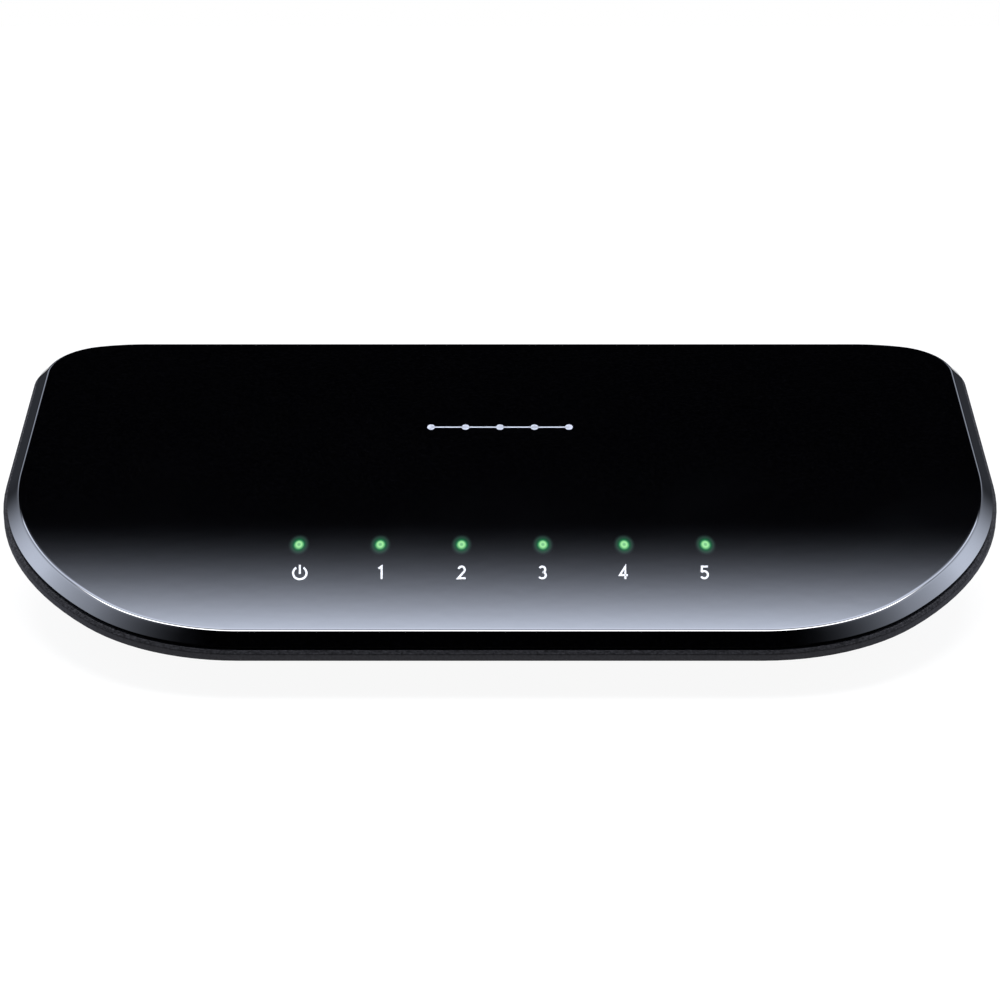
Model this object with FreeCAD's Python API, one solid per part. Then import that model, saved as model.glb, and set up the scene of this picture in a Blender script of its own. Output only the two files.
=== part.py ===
"""Desktop network switch: five cable sockets, a power socket and six status lights in a low wedge.

Frame: millimetres, +Z up. The origin is the centre of the outline on the plane that the feet stand
on. The lights face -Y, towards the user, and the sockets face +Y. The case is 140 wide (X), 90 deep
(Y) and 23.4 high (Z).

The top is a flat deck that falls towards the user. "Deck frame" means the frame of that deck: x
across, v along the deck towards the sockets, and w square to the deck, with w = 0 on its surface.
Everything else is upright.
"""

import FreeCAD, Part
import math
import os
from FreeCAD import Placement, Rotation, Vector

# ---- driving dimensions --------------------------------------------------------------------------
WIDTH, DEPTH, HEIGHT = 140.0, 90.0, 23.4
TILT = math.radians(10.0)  # the deck's fall towards the user

# Deck edge: the surface ends in a ridge, a sloping bevel runs down to the joint line, and the
# case's rim follows.
BEVEL_OUT, BEVEL_DROP = 1.56, 1.72
SKIRT = 0.25  # upright part of the cover's edge under the bevel
RIDGE_ROUND = 0.7
RIM_OUT = 2.15  # how far the rim stands out from the ridge
JOINT_GAP = 0.25  # shadow line between cover and rim
RIM_DEPTH = 1.33
COVER_SKIN = 1.75
TONGUE_OUT, TONGUE_IN, TONGUE_DROP = -0.9, -2.1, 2.85
RIM_IN = -0.7
LAND_OUT = 1.0  # outer edge of the raised land that the cover rests on

# Deck outline: half width, and the radii of the arcs that make its corners.
RIDGE_HALF = WIDTH / 2 - RIM_OUT
SIDE_ARC, FRONT_ARC, SIDE_ARC_RISE = 52.5, 26.5, 44.6
REAR_SIDE_ARC, REAR_ARC, REAR_ARC_DROP = 9.0, 30.0, 9.6

# Case body: walls that narrow from the rim down to a flat base, but an upright socket panel.
FOOT_HEIGHT, FLOOR, WALL = 1.0, 1.8, 1.8
HULL_OUT = 1.1  # where the walls meet the rim, outside the ridge
BASE_HALF, BASE_FRONT = 61.5, -31.0
FLOOR_Z = FOOT_HEIGHT + FLOOR

# Board
BOARD_HALF, BOARD_FRONT, BOARD_BACK = 47.0, -26.0, 41.6
BOARD_BOTTOM, BOARD_THICK = 4.0, 1.6
BOARD_TOP = BOARD_BOTTOM + BOARD_THICK

# Cable sockets
PORTS = 5
PORT_FIRST_X, PORT_PITCH = -27.5, 16.2
WIRES, WIRE_PITCH, WIRE_WIDE, WIRE_THICK = 8, 1.02, 0.36, 0.2
HINGE_D, HINGE_H = 2.4, 2.0  # fold of the spring wires: depth from the mouth, height over the board
WIRE_LONG, WIRE_RISE = 10.0, math.radians(20.5)
WINDOW_HALF, WINDOW_LOW, WINDOW_HIGH = 6.7, 1.4, 11.5

# Power socket
POWER_X, POWER_H = -42.4, 6.3
BARREL_R, BARREL_PIN_R, PIN_COLLAR_R, COLLAR_R = 3.2, 1.05, 1.6, 4.2

# Status lights
LIGHTS = 6
LIGHT_PITCH = 11.05
LIGHT_FROM_RIDGE = 23.17  # along the deck, from the front ridge
OVAL = 2.0  # each light is an oval, this much longer along the deck than across it
PIPE_HALF, TIP_RISE = 0.62, 0.05  # half width across the deck, and height of the tip over it
LIGHT_OFFSET = 0.3  # the row stands this far to the right of the middle

# Fixings
CASE_SCREWS = [(-52.3, 31.0), (52.3, 31.0), (-51.5, -8.0), (51.5, -8.0)]
BOSS_R, BOSS_SPLIT_Z = 4.2, 7.0
SCREW_R, SCREW_HEAD_R, SCREW_HEAD_DEEP = 1.3, 2.6, 1.7
SINK_R, SINK_TOP = 3.0, 3.0
BOARD_SCREWS = [(-43.0, -2.0), (43.0, -2.0)]
FEET = [(-40.0, 30.0), (40.0, 30.0), (-37.0, -19.0), (37.0, -19.0)]
FOOT_R, FOOT_RECESS = 5.0, 0.6
KEYHOLES_X, KEYHOLE_Y = 30.0, 4.0
KEYHOLE_R, KEYHOLE_SLOT_R, KEYHOLE_RUN = 3.6, 1.9, 7.0
LABEL = (26.0, 16.5, 34.5)  # half width, front, back
LABEL_THICK, LABEL_RECESS = 0.15, 0.2

FAR = 200.0


# ---- small helpers -------------------------------------------------------------------------------
def box(x0, x1, y0, y1, z0, z1):
    return Part.makeBox(x1 - x0, y1 - y0, z1 - z0, Vector(x0, y0, z0))


def rod(r, x, y, z0, z1):
    return Part.makeCylinder(r, z1 - z0, Vector(x, y, z0))


def rod_y(r, x, z, y0, y1):
    return Part.makeCylinder(r, y1 - y0, Vector(x, y0, z), Vector(0, 1, 0))


def rod_x(r, y, z, x0, x1):
    return Part.makeCylinder(r, x1 - x0, Vector(x0, y, z), Vector(1, 0, 0))


def joined(shapes):
    return shapes[0].fuse(shapes[1:]).removeSplitter()


def save(name, *solids):
    shape = solids[0] if len(solids) == 1 else Part.makeCompound(list(solids))
    shape.exportStep(f"parts/{name}.step")


class Outline:
    """A closed outline, the same left and right: straight front, sides and back, joined by tangent arcs.

    All arcs keep their centres when the outline is grown by an offset, so every offset is exact.
    """

    def __init__(self, half, front, back, side_arc, front_arc, side_y, rear_side_arc, rear_arc, rear_y):
        self.half, self.front, self.back = half, front, back
        self.radii = (side_arc, front_arc, rear_side_arc, rear_arc)
        self.side_y, self.rear_y = side_y, rear_y
        side = Vector(half - side_arc, side_y)
        rise = side_y - (front + front_arc)
        self.side_centre = side
        reach = math.sqrt((side_arc - front_arc) ** 2 - rise**2)
        self.front_centre = Vector(side.x + reach, front + front_arc)
        corner = Vector(half - rear_side_arc, rear_y)
        rise = rear_y - (back - rear_arc)
        self.corner_centre = corner
        reach = math.sqrt((rear_arc - rear_side_arc) ** 2 - rise**2)
        self.rear_centre = Vector(corner.x - reach, back - rear_arc)

    def wire(self, grow=0.0, z=0.0):
        side_arc, front_arc, corner_arc, rear_arc = (r + grow for r in self.radii)
        front_turn = (self.front_centre - self.side_centre).normalize()
        rear_turn = (self.corner_centre - self.rear_centre).normalize()
        right = [
            (self.front_centre, front_arc, Vector(0, -1), front_turn),
            (self.side_centre, side_arc, front_turn, Vector(1, 0)),
            (self.corner_centre, corner_arc, Vector(1, 0), rear_turn),
            (self.rear_centre, rear_arc, rear_turn, Vector(0, 1)),
        ]
        arcs = [[self.at(c, r, way, z) for way in (a, (a + b).normalize(), b)] for c, r, a, b in right]
        flip = [[Vector(-p.x, p.y, p.z) for p in reversed(arc)] for arc in reversed(arcs)]
        edges, points = [], arcs + flip
        for here, after in zip(points, points[1:] + points[:1]):
            edges.append(Part.Arc(*here).toShape())
            if (after[0] - here[-1]).Length > 1e-6:
                edges.append(Part.makeLine(here[-1], after[0]))
        return Part.Wire(edges)

    @staticmethod
    def at(centre, r, way, z):
        return Vector(centre.x + r * way.x, centre.y + r * way.y, z)

    def slab(self, grow, z0, z1):
        return Part.Face(self.wire(grow, z0)).extrude(Vector(0, 0, z1 - z0))


# ---- frames and outlines -------------------------------------------------------------------------
RIM_BOTTOM = -(BEVEL_DROP + JOINT_GAP + RIM_DEPTH)
RIM_TOP = -(BEVEL_DROP + JOINT_GAP)
FRONT_LEAN, BACK_LEAN = -RIM_TOP * math.sin(TILT), -RIM_BOTTOM * math.sin(TILT)
RIM_LONG = (DEPTH - (BACK_LEAN - FRONT_LEAN)) / math.cos(TILT)
RIDGE_END = RIM_LONG / 2 - RIM_OUT
DECK_ORIGIN = Vector(0, -(BACK_LEAN + FRONT_LEAN) / 2, HEIGHT - RIDGE_END * math.sin(TILT))
DECK = Placement(DECK_ORIGIN, Rotation(Vector(1, 0, 0), math.degrees(TILT)))

RIDGE = Outline(
    RIDGE_HALF, -RIDGE_END, RIDGE_END,
    SIDE_ARC, FRONT_ARC, -RIDGE_END + SIDE_ARC_RISE,
    REAR_SIDE_ARC, REAR_ARC, RIDGE_END - REAR_ARC_DROP,
)
PANEL_Y = DECK.multVec(Vector(0, RIDGE_END + HULL_OUT, RIM_BOTTOM)).y  # outer face of the socket panel
MOUTH_Y = PANEL_Y - WALL - 0.05
BASE = Outline(
    BASE_HALF, BASE_FRONT, PANEL_Y,
    44.0, 22.0, 2.0,
    9.0, 20.0, PANEL_Y - 9.4,
)


def in_deck(shape):
    """The shape, moved from the deck frame to the part's frame."""
    shape = shape.copy()
    shape.Placement = DECK.multiply(shape.Placement)
    return shape


def deck_point(x, v, w=0.0):
    return DECK.multVec(Vector(x, v, w))


def ceiling(y):
    """Height of the cover's inner face over the floor plane, at the given y."""
    surface = DECK_ORIGIN.z + (y - DECK_ORIGIN.y) * math.tan(TILT)
    return surface - COVER_SKIN / math.cos(TILT)


LIGHT_V = -RIDGE_END + LIGHT_FROM_RIDGE
LIGHT_XS = [LIGHT_OFFSET + LIGHT_PITCH * (i - (LIGHTS - 1) / 2) for i in range(LIGHTS)]


# ---- casing --------------------------------------------------------------------------------------
def deck_plate():
    """The cover's bevelled plate, in the deck frame, with its ridge rounded."""
    wires = [
        RIDGE.wire(BEVEL_OUT, -BEVEL_DROP),
        RIDGE.wire(BEVEL_OUT, -BEVEL_DROP + SKIRT),
        RIDGE.wire(0, 0),
    ]
    plate = Part.makeLoft(wires, True, True)
    ridge = [e for e in plate.Edges if all(abs(v.Z) < 1e-6 for v in e.Vertexes)]
    return plate.makeFillet(RIDGE_ROUND, ridge)


def oval_wire(x, half, w):
    """Oval outline at a light, in the deck frame, with its long axis along the deck."""
    oval = Part.Ellipse(Vector(0, 0, 0), half * OVAL, half).toShape()
    oval.Placement = Placement(Vector(x, LIGHT_V, w), Rotation(Vector(0, 0, 1), 90))
    return Part.Wire([oval])


def oval_rod(x, half, w0, w1):
    return Part.Face(oval_wire(x, half, w0)).extrude(Vector(0, 0, w1 - w0))


def light_hole(x):
    """Hole through the deck for one light pipe, in the deck frame."""
    return oval_rod(x, PIPE_HALF + 0.03, -COVER_SKIN - 1, 1)


def cover_boss(x, y):
    """Hanging boss with a blind pilot hole for a case screw."""
    top = ceiling(y) + 0.8
    boss = rod(BOSS_R - 1.2, x, y, BOSS_SPLIT_Z, top)
    return boss, rod(SCREW_R + 0.05, x, y, BOSS_SPLIT_Z - 1, BOSS_SPLIT_Z + 4.2)


def top_cover():
    plate = deck_plate()
    skin = RIDGE.slab(TONGUE_OUT, -COVER_SKIN - 0.6, -BEVEL_DROP + 0.3)
    skin = skin.cut(RIDGE.slab(TONGUE_IN, -FAR, -COVER_SKIN))
    tongue = RIDGE.slab(TONGUE_OUT, -TONGUE_DROP, -BEVEL_DROP + 0.3)
    tongue = tongue.cut(RIDGE.slab(TONGUE_IN, -FAR, FAR))
    cover = in_deck(joined([plate, skin, tongue]))
    bosses, pilots = zip(*(cover_boss(x, y) for x, y in CASE_SCREWS))
    cover = joined([cover, *bosses])
    return cover.cut([*pilots, *(in_deck(light_hole(x)) for x in LIGHT_XS)])


def rim():
    """The case's rim under the joint line, with the land that carries the cover."""
    outer = RIDGE.slab(RIM_OUT, RIM_BOTTOM, RIM_TOP)
    corner = [e for e in outer.Edges if all(abs(v.Z - RIM_TOP) < 1e-6 for v in e.Vertexes)]
    outer = outer.makeChamfer(0.3, corner)
    land = RIDGE.slab(LAND_OUT, RIM_BOTTOM, -BEVEL_DROP)
    ring = joined([outer, land]).cut(RIDGE.slab(RIM_IN, -FAR, FAR))
    return in_deck(ring)


def hull(inset, floor):
    """Solid that widens from the flat base outline to the sloping rim."""
    low = BASE.wire(-inset, floor)
    high = in_deck(RIDGE.wire(HULL_OUT - inset, RIM_BOTTOM + 0.3))
    return Part.makeLoft([low, high], True, True)


def keyhole(x):
    """Keyhole through the floor: a head enters at the round end, and its shank slides to the narrow end."""
    z0, z1 = 0.0, FLOOR_Z + 0.5
    slot = box(x - KEYHOLE_SLOT_R, x + KEYHOLE_SLOT_R, KEYHOLE_Y, KEYHOLE_Y + KEYHOLE_RUN, z0, z1)
    end = rod(KEYHOLE_SLOT_R, x, KEYHOLE_Y + KEYHOLE_RUN, z0, z1)
    return joined([rod(KEYHOLE_R, x, KEYHOLE_Y, z0, z1), slot, end])


def floor_vents():
    slots, pitch, half = 12, 3.6, 0.8
    return [
        box(x - half, x + half, -17.0, 0.0, 0, FLOOR_Z + 0.5)
        for x in (pitch * (i - (slots - 1) / 2) for i in range(slots))
    ]


def side_vents():
    """Upright slots through both side walls."""
    slots, pitch, half = 9, 3.2, 0.7
    places = [1.0 + pitch * i for i in range(slots)]
    rows = [box(-FAR / 2, FAR / 2, y - half, y + half, 7.2, 11.6) for y in places]
    keep = box(-BOARD_HALF, BOARD_HALF, -FAR / 2, FAR / 2, 0, FAR)
    return [row.cut(keep) for row in rows]


def panel_windows():
    """Openings through the socket panel: one for each cable socket, and a round one for the power socket."""
    z0, z1 = BOARD_TOP + WINDOW_LOW, BOARD_TOP + WINDOW_HIGH
    windows = []
    for i in range(PORTS):
        x = port_x(i)
        window = box(x - WINDOW_HALF, x + WINDOW_HALF, MOUTH_Y - 1, PANEL_Y + 1, z0, z1)
        corners = [e for e in window.Edges if abs(e.tangentAt(e.FirstParameter).y) > 0.9]
        windows.append(window.makeFillet(0.8, corners))
    windows.append(rod_y(COLLAR_R + 0.2, POWER_X, BOARD_TOP + POWER_H, MOUTH_Y - 1, PANEL_Y + 1))
    return windows


def bottom_case():
    shell = hull(0, FOOT_HEIGHT).cut(hull(WALL, FLOOR_Z))
    posts = [rod(2.5, x, y, FLOOR_Z - 0.5, BOARD_BOTTOM) for x, y in BOARD_SCREWS]
    posts += [rod(1.3, x, 33.0, FLOOR_Z - 0.5, BOARD_BOTTOM) for x in (-36.6, 5.0, 45.5)]
    posts += [rod(1.5, x, -23.5, FLOOR_Z - 0.5, BOARD_BOTTOM) for x in (-40.0, 0.0, 40.0)]
    bosses = [rod(BOSS_R, x, y, FLOOR_Z - 0.5, BOSS_SPLIT_Z) for x, y in CASE_SCREWS]
    case = joined([shell, rim(), *posts, *bosses])
    cuts = [rod(SINK_R, x, y, 0, SINK_TOP) for x, y in CASE_SCREWS]
    cuts += [rod(SCREW_R + 0.25, x, y, 0, BOSS_SPLIT_Z + 1) for x, y in CASE_SCREWS]
    cuts += [rod(1.05, x, y, FOOT_HEIGHT + 0.8, BOARD_BOTTOM + 1) for x, y in BOARD_SCREWS]
    cuts += [rod(FOOT_R + 0.1, x, y, 0, FOOT_HEIGHT + FOOT_RECESS) for x, y in FEET]
    cuts += [keyhole(-KEYHOLES_X), keyhole(KEYHOLES_X)]
    half, front, back = LABEL
    cuts.append(box(-half - 0.2, half + 0.2, front - 0.2, back + 0.2, 0, FOOT_HEIGHT + LABEL_RECESS))
    return case.cut(cuts + floor_vents() + side_vents() + panel_windows())


def light_pipe():
    """One clear moulding: a bar under the deck, six round-tipped oval pins, and six stubs over the lights."""
    bar_half, bar_deep = LIGHT_XS[-1] + 3.0, 1.3
    bar = Part.makeBox(2 * bar_half, 3.6, bar_deep, Vector(-bar_half, LIGHT_V - 1.8, -COVER_SKIN - bar_deep))
    pieces = [bar]
    for x in LIGHT_XS:
        pin = oval_rod(x, PIPE_HALF, -COVER_SKIN - 0.1, TIP_RISE)
        tip = [e for e in pin.Edges if abs(e.BoundBox.ZMin - TIP_RISE) < 1e-3 and e.BoundBox.ZLength < 1e-3]
        pieces.append(pin.makeFillet(0.15, tip))
        pieces.append(Part.makeCone(1.1, 1.35, 1.6, Vector(x, LIGHT_V, -COVER_SKIN - bar_deep - 1.6)))
    return in_deck(joined(pieces))


# ---- cable sockets -------------------------------------------------------------------------------
def port_x(i):
    return PORT_FIRST_X + PORT_PITCH * i


def cell(x, half, d0, d1, h0, h1):
    """Box inside a socket: centred on x, from depth d0 to d1 behind the mouth, h0 to h1 over the board."""
    return box(x - half, x + half, MOUTH_Y - d1, MOUTH_Y - d0, BOARD_TOP + h0, BOARD_TOP + h1)


def wire_xs(x):
    return [x + WIRE_PITCH * (n - (WIRES - 1) / 2) for n in range(WIRES)]


def tail_d(n):
    """Depth of the nth wire's solder tail: two staggered rows."""
    return 14.2 if n % 2 else 11.7


def jack_housing(x):
    body = cell(x, 7.5, 0.3, 15.3, 0, 11.6)
    pegs = [rod(1.15, x + s * 6.3, MOUTH_Y - 8.0, BOARD_TOP - 1.4, BOARD_TOP + 0.5) for s in (-1, 1)]
    cavity = cell(x, 5.95, -1, 13.2, 2.2, 9.0)
    latch = cell(x, 3.1, -1, 11.0, 8.5, 10.6)
    latch_top = cell(x, 1.7, -1, 11.0, 10.0, 11.2)
    pocket = cell(x, 5.0, 1.4, 16.0, -1, 2.4)
    return joined([body, *pegs]).cut([cavity, latch, latch_top, pocket])


def jack_carrier(x):
    """Insert that holds the wires: a grooved floor plate with a comb for the free ends."""
    plate = cell(x, 4.95, 1.45, 15.25, 0.05, 2.2)
    comb = cell(x, 4.95, 11.4, 13.15, 2.0, 6.4)
    cuts = []
    for n, wx in enumerate(wire_xs(x)):
        cuts.append(cell(wx, 0.31, 11.0, 13.5, 2.2, 7.0))
        cuts.append(cell(wx, 0.28, 2.0, tail_d(n) + 0.3, 1.5, 2.3))
        cuts.append(cell(wx, 0.28, tail_d(n) - 0.3, tail_d(n) + 0.3, -1, 1.6))
    return joined([plate, comb]).cut(cuts)


def jack_shield(x):
    """Folded sheet round the housing, open below, with a front face and two solder legs."""
    sheet = 0.28
    outer = cell(x, 7.8, 0, 15.6, 0, 11.9)
    room = cell(x, 7.52, sheet, 15.6 - sheet, -1, 11.62)
    sizes = ((6.1, 2.05, 9.15), (3.25, 9.0, 10.75), (1.85, 10.5, 11.35))
    mouth = [cell(x, half, -1, 1, z0, z1) for half, z0, z1 in sizes]
    legs = [cell(x + s * 7.66, 0.14, 4.0, 5.2, -2.3, 0.5) for s in (-1, 1)]
    springs = [cell(x + s * 4.6, 0.9, -0.2, 0.1, 9.6, 11.0) for s in (-1, 1)]
    return joined([outer.cut([room, *mouth]), *legs, *springs])


def jack_leads(x):
    """The fixed part of the eight wires: a run along the floor and a solder tail."""
    leads = []
    for n, wx in enumerate(wire_xs(x)):
        half = WIRE_WIDE / 2
        run = cell(wx, half, 2.75, tail_d(n) + half, 1.55, 1.8)
        leads.append(joined([run, cell(wx, half, tail_d(n) - half, tail_d(n) + half, -2.3, 1.6)]))
    return leads


def jack_contacts(x):
    """The eight spring wires, which rise from their fold towards the comb and bend down under a plug."""
    y, z = MOUTH_Y - HINGE_D, BOARD_TOP + HINGE_H
    wires = []
    for wx in wire_xs(x):
        half = WIRE_WIDE / 2
        blade = box(wx - half, wx + half, y - WIRE_LONG, y, z - WIRE_THICK / 2, z + WIRE_THICK / 2)
        blade.rotate(Vector(wx, y, z), Vector(1, 0, 0), -math.degrees(WIRE_RISE))
        wires.append(joined([blade, rod_x(0.22, y, z, wx - half, wx + half)]))
    return wires


# ---- power socket --------------------------------------------------------------------------------
def power_body():
    z = BOARD_TOP + POWER_H
    body = joined([cell(POWER_X, 4.5, 0, 13.5, 0, 11.0), rod_y(COLLAR_R, POWER_X, z, MOUTH_Y - 1, PANEL_Y)])
    barrel = rod_y(BARREL_R, POWER_X, z, MOUTH_Y - 8.6, PANEL_Y + 1)
    flare = Part.makeCone(BARREL_R, BARREL_R + 0.4, 0.4, Vector(POWER_X, PANEL_Y - 0.4, z), Vector(0, 1, 0))
    neck = rod_y(PIN_COLLAR_R + 0.03, POWER_X, z, MOUTH_Y - 14, MOUTH_Y)
    slot = cell(POWER_X, 1.3, 1.2, 9.9, 1.7, 4.0)
    well = cell(POWER_X, 1.3, 9.2, 9.9, -1, 2.5)
    return body.cut([barrel, flare, neck, slot, well])


def power_pin():
    """Centre pin on its collar, with a blade down to the board."""
    z = BOARD_TOP + POWER_H
    pin = rod_y(BARREL_PIN_R, POWER_X, z, MOUTH_Y - 13.9, PANEL_Y - 1.3)
    collar = rod_y(PIN_COLLAR_R, POWER_X, z, MOUTH_Y - 13.9, MOUTH_Y - 8.55)
    nose = Part.makeCone(BARREL_PIN_R, 0.5, 0.5, Vector(POWER_X, PANEL_Y - 1.3, z), Vector(0, 1, 0))
    blade = cell(POWER_X, 1.2, 13.55, 13.95, -2.2, POWER_H + 1.8)
    return joined([pin, collar, nose, blade])


LEAF_D, LEAF_H, LEAF_LONG = 8.9, 2.25, 6.6


def power_spring():
    """Sprung leaf that presses on a plug's barrel from below. It rises towards the mouth to a crest."""
    y, z = MOUTH_Y - LEAF_D, BOARD_TOP + LEAF_H
    half, thick, rise = 1.0, 0.25, 1.55
    side = [
        Vector(POWER_X - half, y + a, z + b)
        for a, b in (
            (0, -thick / 2), (0, thick / 2),
            (LEAF_LONG - 1.4, rise + thick / 2), (LEAF_LONG, rise - 0.7 + thick / 2),
            (LEAF_LONG, rise - 0.7 - thick / 2), (LEAF_LONG - 1.4, rise - thick / 2),
        )
    ]
    leaf = Part.Face(Part.makePolygon(side + side[:1])).extrude(Vector(2 * half, 0, 0))
    return joined([leaf, rod_x(0.22, y, z, POWER_X - half, POWER_X + half)])


def power_terminal():
    return cell(POWER_X, 1.0, LEAF_D + 0.45, LEAF_D + 0.85, -2.2, 2.5)


# ---- board and what it carries -------------------------------------------------------------------
def board_holes():
    """Drillings for tails, pegs, legs, screws and the power socket's blades."""
    z0, z1 = BOARD_BOTTOM - 1, BOARD_TOP + 1
    holes = [rod(1.45, x, y, z0, z1) for x, y in BOARD_SCREWS]
    for i in range(PORTS):
        x = port_x(i)
        holes += [rod(0.42, wx, MOUTH_Y - tail_d(n), z0, z1) for n, wx in enumerate(wire_xs(x))]
        holes += [rod(1.25, x + s * 6.3, MOUTH_Y - 8.0, z0, z1) for s in (-1, 1)]
        holes += [cell(x + s * 7.66, 0.26, 3.85, 5.35, -3, 1) for s in (-1, 1)]
    holes.append(cell(POWER_X, 1.4, 13.35, 14.15, -3, 1))
    holes.append(cell(POWER_X, 1.2, LEAF_D + 0.25, LEAF_D + 1.05, -3, 1))
    return holes


def circuit_board():
    board = box(-BOARD_HALF, BOARD_HALF, BOARD_FRONT, BOARD_BACK, BOARD_BOTTOM, BOARD_TOP)
    corners = [e for e in board.Edges if abs(e.tangentAt(e.FirstParameter).z) > 0.9]
    return board.makeFillet(2.0, corners).cut(board_holes())


def on_board(x, y, half_x, half_y, z0, z1):
    return box(x - half_x, x + half_x, y - half_y, y + half_y, BOARD_TOP + z0, BOARD_TOP + z1)


def with_mark(body, x, y, r=0.6, deep=0.1):
    """The body with a round dimple in its top that marks pin one."""
    top = body.BoundBox.ZMax
    return body.cut(rod(r, x, y, top - deep, top + 1))


CHIP = (4.0, 1.5, 8.5)  # x, y, half size
MAGNETICS_Y = 19.3
SINK_PAD, SINK_HIGH = 0.3, 4.4


def switch_chip():
    x, y, half = CHIP
    body = on_board(x, y, half, half, 0.15, 1.5)
    return with_mark(body.makeChamfer(0.25, body.Edges), x - half + 1.6, y - half + 1.6)


def thermal_pad():
    x, y, half = CHIP
    return on_board(x, y, half - 2.4, half - 2.4, 1.5, 1.5 + SINK_PAD)


def heat_sink():
    """Finned plate on the chip."""
    x, y, half = CHIP
    z0 = 1.5 + SINK_PAD
    block = on_board(x, y, half - 0.5, half - 0.5, z0, z0 + SINK_HIGH)
    gaps = [on_board(x - 6.4 + 2.56 * i, y, 0.78, half, z0 + 1.1, z0 + SINK_HIGH + 1) for i in range(6)]
    return block.cut(gaps)


def gull_lead(x, y, dx, dy, reach, width):
    """Gull-wing lead that steps from a body's side down to the board, running along dx, dy."""
    across = width / 2
    shoulder, foot = (0.0, reach * 0.45, 0.55, 0.75), (reach * 0.35, reach, 0.0, 0.2)
    pieces = []
    for a0, a1, h0, h1 in (shoulder, (reach * 0.35, reach * 0.5, 0.0, 0.75), foot):
        xs = sorted((x + dx * a0, x + dx * a1)) if dx else (x - across, x + across)
        ys = sorted((y + dy * a0, y + dy * a1)) if dy else (y - across, y + across)
        pieces.append(box(*xs, *ys, BOARD_TOP + h0, BOARD_TOP + h1))
    return joined(pieces)


def surface_leads():
    """Leads of the switch chip, the magnetics and the regulator."""
    x, y, half = CHIP
    leads = []
    for n in range(15):
        run = 1.0 * (n - 7)
        leads += [gull_lead(x + run, y + s * half, 0, s, 1.3, 0.45) for s in (-1, 1)]
        leads += [gull_lead(x + s * half, y + run, s, 0, 1.3, 0.45) for s in (-1, 1)]
    for i in range(PORTS):
        for n in range(10):
            run = port_x(i) + 1.2 * (n - 4.5)
            leads += [gull_lead(run, MAGNETICS_Y + s * 3.5, 0, s, 1.2, 0.5) for s in (-1, 1)]
    for n in range(4):
        run = -38.0 + 1.27 * (n - 1.5)
        leads += [gull_lead(run, 4.0 + s * 2.0, 0, s, 1.0, 0.4) for s in (-1, 1)]
    return leads


def magnetics(i):
    body = on_board(port_x(i), MAGNETICS_Y, 6.7, 3.5, 0.2, 5.2)
    return with_mark(body.makeChamfer(0.3, body.Edges), port_x(i) - 5.4, MAGNETICS_Y - 2.2)


def capacitor(x, y, r, high):
    """Electrolytic can on its square base, with a rolled groove and a vent cross in the top."""
    base = on_board(x, y, r + 0.25, r + 0.25, 0, 0.9)
    can = rod(r, x, y, BOARD_TOP + 0.9, BOARD_TOP + high)
    groove = Part.makeTorus(r + 0.12, 0.35, Vector(x, y, BOARD_TOP + 2.0))
    top = BOARD_TOP + high
    arms = ((r * 0.7, 0.12), (0.12, r * 0.7))
    cross = [box(x - a, x + a, y - b, y + b, top - 0.12, top + 1) for a, b in arms]
    return joined([base, can]).cut([groove, *cross])


def power_inductor():
    body = on_board(-29.5, 2.0, 3.2, 3.2, 0, 3.0)
    corners = [e for e in body.Edges if abs(e.tangentAt(e.FirstParameter).z) > 0.9]
    return body.makeFillet(0.9, corners).cut(rod(2.0, -29.5, 2.0, BOARD_TOP + 2.8, BOARD_TOP + 4))


def crystal():
    can = on_board(24.0, -3.0, 5.4, 2.2, 0.4, 3.4)
    corners = [e for e in can.Edges if abs(e.tangentAt(e.FirstParameter).z) > 0.9]
    return joined([can.makeFillet(2.1, corners), on_board(24.0, -3.0, 5.6, 2.35, 0, 0.4)])


def small_passives():
    """Resistors and ceramic capacitors: two rows by the magnetics, one resistor by each light."""
    bodies = []
    for i in range(PORTS):
        for n in range(4):
            bodies.append(on_board(port_x(i) - 4.5 + 3.0 * n, MAGNETICS_Y - 6.3, 0.9, 0.55, 0, 0.6))
    for n in range(7):
        bodies.append(on_board(-14.0 + 3.2 * n, -13.0, 0.55, 0.9, 0, 0.6))
    light_y = deck_point(0, LIGHT_V).y
    bodies += [on_board(x + 3.0, light_y + 0.6, 0.9, 0.5, 0, 0.5) for x in LIGHT_XS]
    return bodies


def status_light(x):
    """Surface-mounted light: a base with a small raised window, under its light pipe's stub."""
    y = deck_point(x, LIGHT_V, -COVER_SKIN - 4.0).y
    base = on_board(x, y, 1.0, 0.75, 0, 0.45)
    window = on_board(x, y, 0.6, 0.65, 0.4, 0.8)
    return joined([base, window])


# ---- fixings and trim ----------------------------------------------------------------------------
def cross_recess(x, y, z, down, size):
    """Cross-shaped recess for a screwdriver, cut down (-1) or up (+1) from z."""
    z0, z1 = sorted((z - down * 0.2, z + down * 0.9))
    return joined([box(x - a, x + a, y - b, y + b, z0, z1) for a, b in ((size, 0.35), (0.35, size))])


def case_screw(x, y):
    """Self-tapping screw, put in from below."""
    head_z = SINK_TOP - SCREW_HEAD_DEEP
    head = rod(SCREW_HEAD_R, x, y, head_z, SINK_TOP)
    rim_edge = [e for e in head.Edges if abs(e.BoundBox.ZMax - head_z) < 1e-6 and len(e.Vertexes) == 1]
    head = head.makeFillet(0.5, rim_edge)
    shank = rod(SCREW_R, x, y, SINK_TOP - 0.2, BOSS_SPLIT_Z + 3.0)
    tip = Part.makeCone(SCREW_R, 0.5, 0.8, Vector(x, y, BOSS_SPLIT_Z + 3.0))
    return joined([head, shank, tip]).cut(cross_recess(x, y, head_z, 1, 1.5))


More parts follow.
